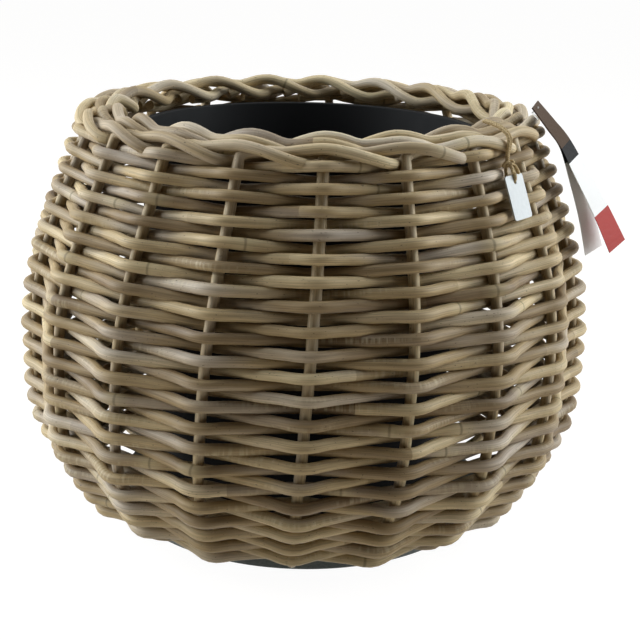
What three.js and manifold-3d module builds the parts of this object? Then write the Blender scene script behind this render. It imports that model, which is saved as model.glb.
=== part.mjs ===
// Woven rattan planter: a dark base board, nineteen upright stakes let into its rim, spiral weavers,
// a border laid from the stakes' own ends, a black liner pot, and two hanging tickets.
// Millimetres, +Z up, origin at the middle of the base board's underside, front towards -Y.
import * as THREE from "three";
import { mergeVertices } from "three/addons/utils/BufferGeometryUtils.js";
import Module from "manifold-3d";

const wasm = await Module();
wasm.setup();

// Base board
const BASE_RADIUS = 132;
const BASE_THICKNESS = 10;
const BASE_CHAMFER = 1.5;
const BASE_SEGMENTS = 57;

// Stakes: upright canes, each let into the board's rim, bent up into the wall, ending in the border
const STAKE_COUNT = 19;
const STAKE_DIAMETER = 6.2;
const STAKE_SIDES = 5;
const STAKE_WALL_STEPS = 17;
const FRONT_STAKE = 10;
const FRONT_STAKE_ANGLE = THREE.MathUtils.degToRad(0.74);
const STAKE_LEAN = THREE.MathUtils.degToRad(5.1);
const FOOT_DEPTH = 12;
const FOOT_STAND = 3;
const FOOT_BEND_STEPS = 4;
const SEAT_CLEARANCE = 0.3;
const HOLE_SIDES = 8;

// Wall: the line that the stakes' axes follow, from above the feet over the belly to the neck
const WALL_OVERHANG = 21;
const WALL_RISE = 8;
const WALL_START_SLOPE = THREE.MathUtils.degToRad(56);
const WALL_START_PULL = 60;
const BELLY_RADIUS = 188.8;
const BELLY_HEIGHT = 130;
const BELLY_PULL_DOWN = 57;
const BELLY_PULL_UP = 51.5;
const NECK_RADIUS = 149.2;
const NECK_HEIGHT = 274.5;
const NECK_SLOPE = THREE.MathUtils.degToRad(68);
const NECK_PULL = 78;
const WALL_SAMPLES = 200;

// Weavers: long canes that spiral up the wall, over one stake and under the next
const WEAVER_DIAMETER = 6.2;
const WEAVER_SIDES = 5;
const ROW_CLEARANCE = 0.45;
const WEAVE_CLEARANCE = 0.45;
const WEAVER_COUNT = 12;
const BUTT_GAP = 2.4;
const TOP_ROW_MARGIN = 4.6;

// Border: the stakes' ends and one extra cane beside each, laid round the mouth as a flat rope.
// A strand's place along the rope is counted in stake spacings past its own stake.
const BORDER_SPACINGS_PER_TURN = 4.5;
const BORDER_HALF_WIDTH = 15.5;
const BORDER_HALF_HEIGHT = 6.1;
const BORDER_WAVE = 1.2;
const BORDER_WAVE_LEAD = 0.15;
const BORDER_INSET = 9;
const BORDER_RISE = 6.1;
const BORDER_TILT = THREE.MathUtils.degToRad(2);
const BORDER_START = THREE.MathUtils.degToRad(210);
const BORDER_JOIN = 0.4;
const BORDER_TAIL = 2.5;
const BORDER_STEPS = 16;
const BORDER_CANE_OFFSET = 0.5;
const BORDER_CANE_START = 0.05;
const BORDER_CANE_TAIL = 2.85;
const BORDER_CANE_STEPS = 20;
const NECK_BEND_RISE = 0.5;
const NECK_BEND_OUT = 3.5;
const NECK_BEND_START = 0.1;
const NECK_BEND_END = 0.6;
const NECK_BEND_STEPS = 4;

// Liner pot
const LINER_FOOT_RADIUS = 98;
const LINER_WALL = 2.2;
const LINER_FLOOR = 2.5;
const LINER_LIP_WIDTH = 3;
const LINER_LIP_HEIGHT = 6;
const LINER_RIM_DROP = 5.5;
const LINER_LIFT_CLEARANCE = 2;
const LINER_SEGMENTS = 48;

// Hanging tag: a small bare plate that lies on the wall, tied to the border with twine.
// Its places are told from the border rope's middle: outwards, along the border and up.
const TAG_ANGLE = THREE.MathUtils.degToRad(50.5);
const TAG_WIDTH = 20;
const TAG_LENGTH = 28;
const TAG_THICKNESS = 1;
const TAG_CORNER = 2;
const TAG_HOLE_DIAMETER = 2.8;
const TAG_HOLE_INSET = 4.5;
const TAG_CURVE_SEGMENTS = 6;
const TAG_HOLE_OUT = 22.9;
const TAG_HOLE_DROP = 25.8;
const TAG_SLOPE = THREE.MathUtils.degToRad(68.8);
const TWINE_DIAMETER = 1.6;
const TWINE_SIDES = 8;
const TWINE_ROUTE = [
  [0.4, -1.3, 9.5],
  [5.4, -1.4, 8.95],
  [11.6, -1.4, 7.4],
  [16.5, -1.4, 4.8],
  [19.25, -1.3, 1.4],
  [19.5, -1.2, -2.3],
  [19.3, -1.1, -5.3],
  [19, -1, -8.2],
  [19.2, -0.7, -11.5],
  [20.3, -0.4, -14.2],
  [22.7, -0.3, -17.1],
  [24, -0.1, -19.3],
  [25, 0, -21.5],
  [25, 0, -23.8],
  [23.3, 0, -25.6],
  [20.9, 0, -25.6],
  [19.5, 0, -24],
  [18.6, 0.2, -21.2],
  [17.9, 0.3, -18.1],
  [18.3, 0.4, -15.1],
  [18.2, 0.7, -11.7],
  [18.5, 1, -8.2],
  [18.9, 1.1, -5.3],
  [19.4, 1.2, -2.3],
  [19, 1.3, 1.3],
  [16.3, 1.4, 4.6],
  [11.5, 1.4, 7.25],
  [5.4, 1.4, 8.95],
  [0.4, 1.3, 9.5],
];
const KNOT_OUT = 19.6;
const KNOT_DROP = 14.6;
const KNOT_RING_RADIUS = 3.3;
const KNOT_TUBE_RADIUS = 0.9;
const KNOT_SIDES = 6;
const KNOT_SEGMENTS = 14;

// Card ticket: a bare folded card that leans on the wall, held at the border by a nylon pin.
// Its places are told from the border rope's middle too.
const TICKET_ANGLE = THREE.MathUtils.degToRad(77);
const TICKET_WIDTH = 24;
const TICKET_THICKNESS = 0.8;
const TICKET_TOP_OUT = 11.2;
const TICKET_TOP_RISE = 11.8;
const TICKET_FORK_OUT = 31.5;
const TICKET_FORK_DROP = 12.9;
const TICKET_OUTER_END_OUT = 68.8;
const TICKET_OUTER_END_DROP = 80.6;
const TICKET_INNER_END_OUT = 53.3;
const TICKET_INNER_END_DROP = 83.6;
const TICKET_CROTCH = 1.6;
const PIN_DIAMETER = 1;
const PIN_CLEARANCE = 0.8;
const PIN_SIDES = 6;
const PIN_HOLE_DROP = 3.2;
const PIN_DRILL_LENGTH = 6;
const PIN_HOLE_ALONG = -2;
const PIN_ROUTE = [
  [15.8, -9.5, 3.95],
  [14.3, -7.6, 5.25],
  [12.2, -5.3, 6.6],
  [10.9, -3.4, 7.4],
  [13.25, PIN_HOLE_ALONG, 9.35],
  [14.8, -1, 11.2],
];

// Stakes and wall worked out from these
const STAKE_RADIUS = STAKE_DIAMETER / 2;
const STAKE_SPACING = (2 * Math.PI) / STAKE_COUNT;
const FOOT_RADIUS = BASE_RADIUS - FOOT_DEPTH + SEAT_CLEARANCE;
const FOOT_HEIGHT = BASE_THICKNESS / 2;
const WALL_START = new THREE.Vector2(BASE_RADIUS + WALL_OVERHANG, BASE_THICKNESS + WALL_RISE);
const BELLY = new THREE.Vector2(BELLY_RADIUS, BELLY_HEIGHT);
const NECK = new THREE.Vector2(NECK_RADIUS, NECK_HEIGHT);

// Border worked out from the stakes
const BORDER_RADIUS = NECK_RADIUS - BORDER_INSET;
const BORDER_HEIGHT = NECK_HEIGHT + BORDER_RISE;
const borderSection = new THREE.EllipseCurve(
  0,
  0,
  BORDER_HALF_WIDTH,
  BORDER_HALF_HEIGHT,
  BORDER_START,
  BORDER_START - 2 * Math.PI,
  true,
);
const MOUTH_RADIUS = BORDER_RADIUS - BORDER_HALF_WIDTH - STAKE_RADIUS;

// Materials
const rattan = new THREE.MeshStandardMaterial({ color: 0x8a7560, roughness: 0.6, metalness: 0 });
const stakeRattan = new THREE.MeshStandardMaterial({ color: 0x7c6a58, roughness: 0.6, metalness: 0 });
const stainedBoard = new THREE.MeshStandardMaterial({ color: 0x35302e, roughness: 0.7, metalness: 0 });
const blackPlastic = new THREE.MeshStandardMaterial({ color: 0x17171a, roughness: 0.5, metalness: 0 });
const paleTin = new THREE.MeshStandardMaterial({ color: 0xd9dde2, roughness: 0.5, metalness: 0.6 });
const juteTwine = new THREE.MeshStandardMaterial({ color: 0xa98f63, roughness: 0.9, metalness: 0 });
const whiteCard = new THREE.MeshStandardMaterial({ color: 0xe9e6e2, roughness: 0.6, metalness: 0 });
const nylon = new THREE.MeshStandardMaterial({ color: 0xeeeeea, roughness: 0.4, metalness: 0 });

// A route through given points, with one step of a rod on each of them
class Route extends THREE.Curve {
  constructor(points) {
    super();
    this.points = points;
  }

  getPoint(share, target = new THREE.Vector3()) {
    const last = this.points.length - 1;
    const place = share * last;
    const start = Math.min(Math.floor(place), last - 1);
    return target.lerpVectors(this.points[start], this.points[start + 1], place - start);
  }

  getPointAt(share, target) {
    return this.getPoint(share, target);
  }

  getTangentAt(share, target = new THREE.Vector3()) {
    const last = this.points.length - 1;
    const here = Math.round(share * last);
    const before = this.points[Math.max(here - 1, 0)];
    const after = this.points[Math.min(here + 1, last)];
    return target.subVectors(after, before).normalize();
  }
}

// A round rod of the given diameter along the points
function rod(points, diameter, sides) {
  const corners = [];
  for (let side = 0; side < sides; side += 1) {
    const turn = (2 * Math.PI * side) / sides;
    corners.push(new THREE.Vector2(Math.cos(turn), Math.sin(turn)).multiplyScalar(diameter / 2));
  }
  return new THREE.ExtrudeGeometry(new THREE.Shape(corners), {
    steps: points.length - 1,
    bevelEnabled: false,
    extrudePath: new Route(points),
  });
}

// A solid of revolution about +Z from its radius and height pairs
function turned(profile, segments) {
  const points = profile.map(([radius, height]) => new THREE.Vector2(radius, height));
  return new THREE.LatheGeometry(points, segments).rotateX(Math.PI / 2);
}

// Boolean cut of one closed geometry by others
function solid(geometry) {
  const bare = geometry.clone();
  bare.deleteAttribute("normal");
  bare.deleteAttribute("uv");
  const merged = mergeVertices(bare.index ? bare.toNonIndexed() : bare, 1e-4);
  const vertProperties = new Float32Array(merged.attributes.position.array);
  const triVerts = new Uint32Array(merged.index.array);
  return new wasm.Manifold(new wasm.Mesh({ numProp: 3, vertProperties, triVerts }));
}

function cut(geometry, tools) {
  let body = solid(geometry);
  for (const tool of tools) {
    body = body.subtract(solid(tool));
  }
  const mesh = body.getMesh();
  const result = new THREE.BufferGeometry();
  result.setAttribute("position", new THREE.BufferAttribute(new Float32Array(mesh.vertProperties), 3));
  result.setIndex(new THREE.BufferAttribute(new Uint32Array(mesh.triVerts), 1));
  return result;
}

// The wall line, as an arc-length walk over two curves that meet upright at the belly
const footDirection = new THREE.Vector2(Math.cos(WALL_START_SLOPE), Math.sin(WALL_START_SLOPE));
const lowerWall = new THREE.CubicBezierCurve(
  WALL_START,
  WALL_START.clone().addScaledVector(footDirection, WALL_START_PULL),
  BELLY.clone().add(new THREE.Vector2(0, -BELLY_PULL_DOWN)),
  BELLY,
);
const neckDirection = new THREE.Vector2(-Math.cos(NECK_SLOPE), Math.sin(NECK_SLOPE));
const upperWall = new THREE.CubicBezierCurve(
  BELLY,
  BELLY.clone().add(new THREE.Vector2(0, BELLY_PULL_UP)),
  NECK.clone().addScaledVector(neckDirection, -NECK_PULL),
  NECK,
);
const wallPoints = lowerWall.getPoints(WALL_SAMPLES).concat(upperWall.getPoints(WALL_SAMPLES).slice(1));
const wallLengths = [0];
for (let index = 1; index < wallPoints.length; index += 1) {
  wallLengths.push(wallLengths[index - 1] + wallPoints[index].distanceTo(wallPoints[index - 1]));
}
const WALL_LENGTH = wallLengths[wallLengths.length - 1];

// The wall line's point and outward normal at a distance along it
function wallAt(distance) {
  let index = 1;
  while (index < wallLengths.length - 1 && wallLengths[index] < distance) {
    index += 1;
  }
  const start = wallPoints[index - 1];
  const end = wallPoints[index];
  const share = (distance - wallLengths[index - 1]) / (wallLengths[index] - wallLengths[index - 1]);
  const along = end.clone().sub(start).normalize();
  return { point: start.clone().lerp(end, share), outward: new THREE.Vector2(along.y, -along.x) };
}

// A point from its radius, height and stake number, which may lie between two stakes
function placed(radius, height, stake) {
  const climb = (Math.max(height, WALL_START.y) - BELLY_HEIGHT) / (NECK_HEIGHT - WALL_START.y);
  const lean = STAKE_LEAN * climb;
  const angle = FRONT_STAKE_ANGLE + (stake - FRONT_STAKE) * STAKE_SPACING + lean - Math.PI / 2;
  return new THREE.Vector3(radius * Math.cos(angle), radius * Math.sin(angle), height);
}

// The border rope's strand, at a number of stake spacings past its start, which lies an offset past
// its own stake; the whole rope rises a little by each stake and dips between two
function borderStrand(spacings, offset) {
  const share = spacings / BORDER_SPACINGS_PER_TURN;
  const wave = BORDER_WAVE * Math.cos(2 * Math.PI * (spacings + offset - BORDER_WAVE_LEAD));
  const { x: across, y: up } = borderSection.getPointAt(share - Math.floor(share));
  const radius = BORDER_RADIUS + across * Math.cos(BORDER_TILT) + up * Math.sin(BORDER_TILT);
  const height = BORDER_HEIGHT + wave - across * Math.sin(BORDER_TILT) + up * Math.cos(BORDER_TILT);
  return new THREE.Vector3(radius, height, spacings + offset);
}

// One stake's axis as radius, height and spacings: foot, bend past the rim, wall, neck, border
function stakeLine() {
  const line = [new THREE.Vector3(FOOT_RADIUS, FOOT_HEIGHT, 0)];
  const kneeRadius = WALL_START.x - (WALL_START.y - FOOT_HEIGHT) / Math.tan(WALL_START_SLOPE);
  const footBend = new THREE.QuadraticBezierCurve(
    new THREE.Vector2(BASE_RADIUS + FOOT_STAND, FOOT_HEIGHT),
    new THREE.Vector2(kneeRadius, FOOT_HEIGHT),
    WALL_START,
  );
  for (const point of footBend.getPoints(FOOT_BEND_STEPS).slice(0, -1)) {
    line.push(new THREE.Vector3(point.x, point.y, 0));
  }
  for (let step = 0; step <= STAKE_WALL_STEPS; step += 1) {
    const { point } = wallAt((WALL_LENGTH * step) / STAKE_WALL_STEPS);
    line.push(new THREE.Vector3(point.x, point.y, 0));
  }
  const join = borderStrand(BORDER_JOIN, 0);
  const leaving = NECK.clone().addScaledVector(neckDirection, NECK_BEND_RISE);
  const neckBend = new THREE.CubicBezierCurve3(
    new THREE.Vector3(NECK.x, NECK.y, 0),
    new THREE.Vector3(leaving.x, leaving.y, BORDER_JOIN * NECK_BEND_START),
    new THREE.Vector3(join.x + NECK_BEND_OUT, NECK.y + NECK_BEND_RISE, BORDER_JOIN * NECK_BEND_END),
    join,
  );
  line.push(...neckBend.getPoints(NECK_BEND_STEPS).slice(1));
  for (let step = 1; step <= BORDER_STEPS; step += 1) {
    line.push(borderStrand(BORDER_JOIN + ((BORDER_TAIL - BORDER_JOIN) * step) / BORDER_STEPS, 0));
  }
  return line;
}

// One extra border cane, lying half a spacing past its stake
function borderCaneLine() {
  const line = [];
  for (let step = 0; step <= BORDER_CANE_STEPS; step += 1) {
    const share = step / BORDER_CANE_STEPS;
    const spacings = THREE.MathUtils.lerp(BORDER_CANE_START, BORDER_CANE_TAIL, share);
    line.push(borderStrand(spacings, BORDER_CANE_OFFSET));
  }
  return line;
}

// Weaver offsets from the stake's axis that keep the clearance on the straight runs between stakes
const WEAVE_OFFSET = STAKE_RADIUS + WEAVER_DIAMETER / 2 + WEAVE_CLEARANCE;
function outerOffset(radius) {
  const inward = 2 * WEAVE_OFFSET + radius * (1 - Math.cos(STAKE_SPACING));
  const run = radius * Math.sin(STAKE_SPACING);
  return WEAVE_OFFSET / Math.cos(Math.atan2(inward, run));
}

// The spiral of all the weavers, one point at each stake crossing, inside on even and outside on odd
const ROW_COUNT = Math.floor((WALL_LENGTH - TOP_ROW_MARGIN) / (WEAVER_DIAMETER + ROW_CLEARANCE));
const ROW_PITCH = (WALL_LENGTH - TOP_ROW_MARGIN) / ROW_COUNT;
const SPAN_COUNT = ROW_COUNT * STAKE_COUNT;
const SPANS_PER_WEAVER = 2 * Math.ceil(SPAN_COUNT / (2 * WEAVER_COUNT));
function crossing(number) {
  const { point, outward } = wallAt((number / STAKE_COUNT) * ROW_PITCH);
  const offset = number % 2 === 0 ? -WEAVE_OFFSET : outerOffset(point.x);
  return placed(point.x + offset * outward.x, point.y + offset * outward.y, number % STAKE_COUNT);
}

function weaverPoints(first, last) {
  const points = [];
  for (let number = first; number <= last; number += 1) {
    points.push(crossing(number));
  }
  const end = points.length - 1;
  const startRun = points[1].clone().sub(points[0]).setLength(BUTT_GAP / 2);
  const endRun = points[end - 1].clone().sub(points[end]).setLength(BUTT_GAP / 2);
  points[0].add(startRun);
  points[end].add(endRun);
  return points;
}

// Assembly
const planter = new THREE.Group();
planter.name = "rattan_planter";

function addMesh(parent, name, geometry, material) {
  const mesh = new THREE.Mesh(geometry, material);
  mesh.name = name;
  parent.add(mesh);
  return mesh;
}

function numbered(name, number) {
  return `${name}_${String(number).padStart(2, "0")}`;
}

function baseBoard() {
  const disc = turned(
    [
      [0, 0],
      [BASE_RADIUS - BASE_CHAMFER, 0],
      [BASE_RADIUS, BASE_CHAMFER],
      [BASE_RADIUS, BASE_THICKNESS - BASE_CHAMFER],
      [BASE_RADIUS - BASE_CHAMFER, BASE_THICKNESS],
      [0, BASE_THICKNESS],
    ],
    BASE_SEGMENTS,
  );
  const holeRadius = (STAKE_RADIUS + SEAT_CLEARANCE) / Math.cos(Math.PI / HOLE_SIDES);
  const holes = [];
  for (let stake = 0; stake < STAKE_COUNT; stake += 1) {
    const hole = new THREE.CylinderGeometry(holeRadius, holeRadius, 2 * FOOT_DEPTH, HOLE_SIDES);
    const mouth = placed(BASE_RADIUS, FOOT_HEIGHT, stake);
    hole.rotateZ(Math.PI / 2).rotateZ(Math.atan2(mouth.y, mouth.x));
    holes.push(hole.translate(mouth.x, mouth.y, mouth.z));
  }
  return cut(disc, holes);
}

function linerPot() {
  const foot = BASE_THICKNESS + SEAT_CLEARANCE;
  const rim = NECK_HEIGHT - LINER_RIM_DROP;
  const lipRadius = MOUTH_RADIUS - LINER_LIFT_CLEARANCE;
  const topRadius = lipRadius - LINER_LIP_WIDTH;
  return turned(
    [
      [0, foot],
      [LINER_FOOT_RADIUS, foot],
      [topRadius, rim - LINER_LIP_HEIGHT],
      [lipRadius, rim - LINER_LIP_HEIGHT],
      [lipRadius, rim],
      [topRadius - LINER_WALL, rim],
      [LINER_FOOT_RADIUS - LINER_WALL, foot + LINER_FLOOR],
      [0, foot + LINER_FLOOR],
    ],
    LINER_SEGMENTS,
  );
}

// The bare plate round its hole, drawn in its own plane, with its front face up
function tagPlate() {
  const side = TAG_WIDTH / 2 - TAG_CORNER;
  const top = TAG_HOLE_INSET - TAG_CORNER;
  const bottom = TAG_HOLE_INSET - TAG_LENGTH + TAG_CORNER;
  const outline = new THREE.Shape();
  outline.absarc(side, top, TAG_CORNER, 0, Math.PI / 2);
  outline.absarc(-side, top, TAG_CORNER, Math.PI / 2, Math.PI);
  outline.absarc(-side, bottom, TAG_CORNER, Math.PI, 1.5 * Math.PI);
  outline.absarc(side, bottom, TAG_CORNER, 1.5 * Math.PI, 2 * Math.PI);
  const hole = new THREE.Path();
  hole.absarc(0, 0, TAG_HOLE_DIAMETER / 2, 0, 2 * Math.PI, true);
  outline.holes.push(hole);
  return new THREE.ExtrudeGeometry(outline, {
    depth: TAG_THICKNESS,
    bevelEnabled: false,
    curveSegments: TAG_CURVE_SEGMENTS,
  });
}

// A group at the border rope's middle, at an angle round the planter, with +X outwards
function onBorder(angle) {
  const group = new THREE.Group();
  group.rotation.z = angle - Math.PI / 2;
  group.position.set(BORDER_RADIUS * Math.sin(angle), -BORDER_RADIUS * Math.cos(angle), BORDER_HEIGHT);
  planter.add(group);
  return group;
}

// Turns a piece drawn flat so that its face looks outwards and its top points up the slope
function leanOnWall(mesh, slope, out, drop) {
  const across = new THREE.Vector3(0, 1, 0);
  const upSlope = new THREE.Vector3(-Math.cos(slope), 0, Math.sin(slope));
  const outward = new THREE.Vector3(Math.sin(slope), 0, Math.cos(slope));
  mesh.quaternion.setFromRotationMatrix(new THREE.Matrix4().makeBasis(across, upSlope, outward));
  mesh.position.set(out, 0, -drop);
}

function routePoints(route) {
  return route.map(([outward, along, up]) => new THREE.Vector3(outward, along, up));
}

// The folded card, as a forked strip of even thickness, with the pin's hole near its top
function ticketCard() {
  const top = new THREE.Vector2(TICKET_TOP_OUT, TICKET_TOP_RISE);
  const fork = new THREE.Vector2(TICKET_FORK_OUT, -TICKET_FORK_DROP);
  const outerEnd = new THREE.Vector2(TICKET_OUTER_END_OUT, -TICKET_OUTER_END_DROP);
  const innerEnd = new THREE.Vector2(TICKET_INNER_END_OUT, -TICKET_INNER_END_DROP);
  const stem = fork.clone().sub(top).normalize();
  const outer = outerEnd.clone().sub(fork).normalize();
  const inner = innerEnd.clone().sub(fork).normalize();
  const faceOf = (along) => new THREE.Vector2(-along.y, along.x).multiplyScalar(TICKET_THICKNESS);
  const between = outer.clone().add(inner).normalize();
  const crotch = fork.clone().addScaledVector(between, TICKET_CROTCH);
  const outline = new THREE.Shape([
    top,
    fork,
    innerEnd,
    innerEnd.clone().add(faceOf(inner)),
    crotch.clone().add(faceOf(inner)),
    outerEnd,
    outerEnd.clone().add(faceOf(outer)),
    fork.clone().add(faceOf(outer)),
    top.clone().add(faceOf(stem)),
  ]);
  const strip = new THREE.ExtrudeGeometry(outline, { depth: TICKET_WIDTH, bevelEnabled: false });
  strip.translate(0, 0, -TICKET_WIDTH / 2).rotateX(Math.PI / 2);
  const holeRadius = PIN_DIAMETER / 2 + PIN_CLEARANCE;
  const hole = new THREE.CylinderGeometry(holeRadius, holeRadius, PIN_DRILL_LENGTH, HOLE_SIDES);
  const holeAt = top.clone().addScaledVector(stem, PIN_HOLE_DROP);
  hole.rotateZ(Math.atan2(stem.y, stem.x)).rotateX(Math.PI / 2);
  hole.translate(holeAt.x, PIN_HOLE_ALONG, holeAt.y);
  return cut(strip, [hole]);
}

addMesh(planter, "base_board", baseBoard(), stainedBoard);

for (let stake = 0; stake < STAKE_COUNT; stake += 1) {
  const points = stakeLine().map(({ x, y, z }) => placed(x, y, stake + z));
  addMesh(planter, numbered("stake", stake + 1), rod(points, STAKE_DIAMETER, STAKE_SIDES), stakeRattan);
}

for (let stake = 0; stake < STAKE_COUNT; stake += 1) {
  const points = borderCaneLine().map(({ x, y, z }) => placed(x, y, stake + z));
  addMesh(planter, numbered("border_cane", stake + 1), rod(points, STAKE_DIAMETER, STAKE_SIDES), rattan);
}

for (let weaver = 0; weaver < WEAVER_COUNT; weaver += 1) {
  const first = weaver * SPANS_PER_WEAVER;
  const points = weaverPoints(first, Math.min(first + SPANS_PER_WEAVER, SPAN_COUNT));
  addMesh(planter, numbered("weaver", weaver + 1), rod(points, WEAVER_DIAMETER, WEAVER_SIDES), rattan);
}

addMesh(planter, "liner_pot", linerPot(), blackPlastic);

const tag = onBorder(TAG_ANGLE);
leanOnWall(addMesh(tag, "tag_plate", tagPlate(), paleTin), TAG_SLOPE, TAG_HOLE_OUT, TAG_HOLE_DROP);
addMesh(tag, "tag_twine", rod(routePoints(TWINE_ROUTE), TWINE_DIAMETER, TWINE_SIDES), juteTwine);
const knotRing = new THREE.TorusGeometry(KNOT_RING_RADIUS, KNOT_TUBE_RADIUS, KNOT_SIDES, KNOT_SEGMENTS);
const knot = addMesh(tag, "tag_knot", knotRing, juteTwine);
knot.rotation.y = TAG_SLOPE - Math.PI / 2;
knot.position.set(KNOT_OUT, 0, -KNOT_DROP);

const ticket = onBorder(TICKET_ANGLE);
addMesh(ticket, "ticket_card", ticketCard(), whiteCard);
addMesh(ticket, "ticket_pin", rod(routePoints(PIN_ROUTE), PIN_DIAMETER, PIN_SIDES), nylon);

export default planter;
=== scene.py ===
import math
import random

import bpy
from mathutils import Matrix, Quaternion, Vector


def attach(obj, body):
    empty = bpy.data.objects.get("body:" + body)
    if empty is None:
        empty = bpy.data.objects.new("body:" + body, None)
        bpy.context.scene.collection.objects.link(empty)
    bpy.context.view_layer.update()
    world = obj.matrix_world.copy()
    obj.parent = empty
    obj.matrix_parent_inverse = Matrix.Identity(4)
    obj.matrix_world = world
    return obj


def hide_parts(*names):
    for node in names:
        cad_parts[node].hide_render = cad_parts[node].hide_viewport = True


# Woven rattan planter: base board, stakes, spiral weavers, rope border, liner pot, tag and card ticket.
# Metres, +Z up, origin in the middle of the board's underside, front towards -Y, as the solids are.
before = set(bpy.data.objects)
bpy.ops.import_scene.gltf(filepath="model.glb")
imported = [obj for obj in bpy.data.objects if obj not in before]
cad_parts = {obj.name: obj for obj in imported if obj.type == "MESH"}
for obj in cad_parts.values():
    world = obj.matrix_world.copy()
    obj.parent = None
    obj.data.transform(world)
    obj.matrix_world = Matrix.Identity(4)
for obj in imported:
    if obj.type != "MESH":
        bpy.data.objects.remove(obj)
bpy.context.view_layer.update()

# Sizes shared with the solids
BASE_RADIUS = 0.132
BASE_THICKNESS = 0.010
BASE_ROUNDING = 0.0015
STAKE_COUNT = 19
STAKE_SPACING = 2 * math.pi / STAKE_COUNT
FRONT_STAKE = 10
FRONT_STAKE_ANGLE = math.radians(0.74)
STAKE_LEAN = math.radians(5.1)
FOOT_RADIUS = 0.1203
FOOT_HEIGHT = 0.005
FOOT_STAND = 0.003
WALL_START = Vector((0.153, 0.018))
WALL_START_SLOPE = math.radians(56)
WALL_START_PULL = 0.060
BELLY = Vector((0.1888, 0.130))
BELLY_PULL_DOWN = 0.057
BELLY_PULL_UP = 0.0515
NECK = Vector((0.1492, 0.2745))
NECK_SLOPE = math.radians(68)
NECK_PULL = 0.078
WEAVER_COUNT = 12
WEAVE_OFFSET = 0.00665
ROW_PITCH_LEAST = 0.00665
TOP_ROW_MARGIN = 0.0046
BUTT_GAP = 0.0024
BORDER_RADIUS = 0.1402
BORDER_HEIGHT = 0.2806
LINER_FOOT_RADIUS = 0.098
LINER_FOOT_HEIGHT = 0.0103
LINER_RIM_HEIGHT = 0.269
LINER_LIP_RADIUS = 0.1196
LINER_LIP_WIDTH = 0.003
LINER_LIP_HEIGHT = 0.006
LINER_WALL = 0.0022
LINER_FLOOR = 0.0025
TAG_ANGLE = math.radians(50.5)
TAG_SLOPE = math.radians(68.8)
TAG_WIDTH = 0.020
TAG_LENGTH = 0.028
TAG_THICKNESS = 0.001
TAG_CORNER = 0.002
TAG_HOLE_RADIUS = 0.0014
TAG_HOLE_INSET = 0.0045
TAG_HOLE_OUT = 0.0229
TAG_HOLE_DROP = 0.0258
TWINE_DIAMETER = 0.0016
KNOT_OUT = 0.0196
KNOT_DROP = 0.0146
TICKET_ANGLE = math.radians(77)
TICKET_WIDTH = 0.024
TICKET_THICKNESS = 0.0008
PIN_DIAMETER = 0.001

# How the real canes differ from the plain rods of the solids: they are fuller and less even, press on
# each other, and lie up to the border, which sags a little; the stakes leave the board a little higher,
# and the tag stands a little further off the fuller wall
LOWEST_WEAVER_DIAMETER = 0.0074
TOPMOST_WEAVER_DIAMETER = 0.0068
STAKE_CANE_DIAMETER = 0.007
BORDER_CANE_DIAMETER = 0.0071
BORDER_CANE_CREST = 2
BORDER_SAG = 0.0036
ROW_LIFT = 0.0035
WEAVE_PRESS = 0.95
FOOT_PRESS = 0.72
FOOT_ROWS = 10
FOOT_LIFT = 0.003
FOOT_KNEE_HEIGHT = 0.014
KNEE_PULL = 2 / 3
STRAIGHT_REACH = 0.3
TAG_STAND = 0.0016
JOINT_SPACING = 0.37
STICK_LENGTH = 0.45

# Chance among the canes: shifts of a weaver where it passes a stake, fullness, tone, unevenness and wander
CROSSING_LIFT = 0.0007
CROSSING_PUSH = 0.0004
WEAVER_FULLNESS = 0.98, 1.03
STRAIGHT_FULLNESS = 0.97, 1.03
WEAVER_TONES = 0.4, 0.6
STAKE_TONES = 0.35, 0.65
BORDER_TONES = 0.4, 0.7
WEAVER_UNEVENNESS = 0.34
WEAVER_WANDER = 0.001
STRAIGHT_UNEVENNESS = 0.08
STRAIGHT_WANDER = 0.0005

# How finely round and curved pieces are drawn
CANE_STEP = 0.0045
CANE_SIDES = 12
WALL_SAMPLES = 200
UPRIGHT_STEPS = 48
FOOT_STEPS = 6
BORDER_STEPS = 3
TWINE_STEPS = 6
YARN_SIDES = 6
KNOT_STEPS = 72
KNOT_SIDES = 8
FRAY_STEPS = 5
TAG_CORNER_STEPS = 6
TAG_HOLE_STEPS = 24
BOARD_SEGMENTS = 128
LINER_SEGMENTS = 144
CARD_STEPS = 8
PIN_STEPS = 5
PIN_SIDES = 10

# Strands of the border, each point in stake spacings along it, then outwards and up from the rope's middle:
# a stake's tail arches over the next stake and ducks in behind the one after that; a border cane arches
# over the rope's inner edge and runs on between the next arch and the tails
TAIL_RUN = [
    (0.1, 0.0066, -0.0002),
    (0.28, 0.0044, 0.0008),
    (0.5, 0.0062, 0.0008),
    (0.75, 0.0086, 0.003),
    (1.0, 0.0105, 0.0044),
    (1.25, 0.013, 0.003),
    (1.5, 0.0145, -0.0004),
    (1.75, 0.0132, -0.0042),
    (1.95, 0.0045, -0.0062),
    (2.2, -0.002, -0.006),
    (2.5, -0.0055, -0.0055),
]
CANE_RUN = [
    (-1.4, 0.001, -0.0005),
    (-1.1, -0.003, -0.001),
    (-0.8, -0.0105, -0.0035),
    (-0.5, -0.0135, 0.0005),
    (-0.25, -0.0118, 0.005),
    (0, -0.009, 0.008),
    (0.25, -0.0068, 0.007),
    (0.5, -0.005, 0.0038),
    (0.75, -0.002, 0.0046),
    (1.0, 0.001, 0.006),
    (1.25, 0.0018, 0.004),
    (1.5, -0.0005, 0),
    (1.75, -0.003, -0.004),
]

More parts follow.
